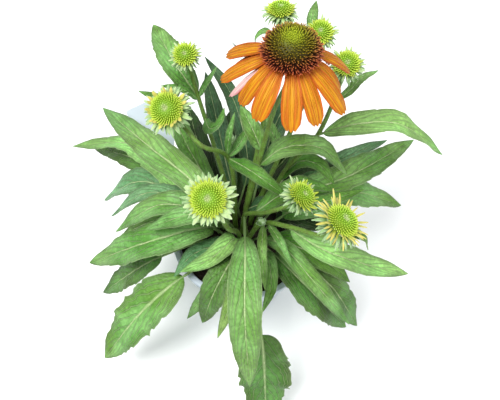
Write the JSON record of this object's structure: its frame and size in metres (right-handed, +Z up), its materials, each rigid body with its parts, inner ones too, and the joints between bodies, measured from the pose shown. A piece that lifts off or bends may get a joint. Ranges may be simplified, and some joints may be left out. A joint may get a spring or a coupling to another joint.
{
  "type": "potted coneflower plant",
  "caption": "Coneflower plant in a round nursery pot, with an open orange bloom and green buds on leafy stems above a rosette of lance-shaped leaves, and a blank plant tag.",
  "frame": {"origin": "centre of the pot's flat underside, which rests on the ground", "axes": "+Z up along the pot's axis; the plant's front, seen in the picture, faces -Y, and +X is to its right"},
  "size_m": [0.3899, 0.3449, 0.3589],
  "materials": {
    "pot": "satin moulded",
    "soil": "loose dark potting soil",
    "tag": "smooth plastic sheet, left blank",
    "leaf": "soft leaf with raised veins and a fine rough bloom",
    "stem": "hairy green stem, with its leaves and bracts",
    "floret": "lime green floret tips",
    "ray": "pale yellow young rays",
    "petal": "orange petals with fine lengthwise ribs",
    "cone": "spiny cone, green at the top and maroon at the base"
  },
  "bodies": {
    "root": {"pot": "pot", "soil": "soil", "plant_tag": "tag", "leaf_left_back_pale": "leaf", "leaf_left_scalloped": "leaf", "leaf_left_under": "leaf", "leaf_left_glossy": "leaf", "leaf_left_narrow": "leaf", "leaf_left_long": "leaf", "leaf_left_short": "leaf", "leaf_left_shaded": "leaf", "leaf_left_broad": "leaf", "leaf_left_low": "leaf", "leaf_front_left_broad": "leaf", "leaf_front_left_grey": "leaf", "leaf_front_left_bright": "leaf", "leaf_front_slim": "leaf", "leaf_front_dark": "leaf", "leaf_front_lime": "leaf", "leaf_front_long": "leaf", "leaf_front_fold": "leaf", "leaf_right_front_long": "leaf", "leaf_right_front_low": "leaf", "leaf_right_front_wide": "leaf", "leaf_right_front_round": "leaf", "leaf_right_broad": "leaf", "leaf_right_long": "leaf", "leaf_right_back_blue": "leaf", "leaf_back_mid": "leaf", "leaf_back_thin": "leaf", "leaf_back_left_dark": "leaf", "leaf_back_far": "leaf", "leaf_inner_right": "leaf", "leaf_inner_low": "leaf", "leaf_inner_back": "leaf", "leaf_inner_back_left": "leaf", "leaf_inner_back_right": "leaf", "stem_bloom": "stem", "stem_upper_left": "stem", "stem_top_left": "stem", "stem_top_mid": "stem", "stem_top_right": "stem", "stem_right_top": "stem", "stem_right_mid": "stem", "stem_right_low": "stem", "stem_front_left": "stem", "disc_upper_left": "floret", "disc_top_left": "floret", "disc_top_mid": "floret", "disc_top_right": "floret", "disc_right_top": "floret", "disc_right_mid": "floret", "disc_right_low": "floret", "disc_front_left": "floret", "rays_upper_left": "ray", "rays_right_low": "ray", "rays_front_left": "ray", "bloom_petals": "petal", "bloom_cone": "cone"}
  },
  "joints": []
}
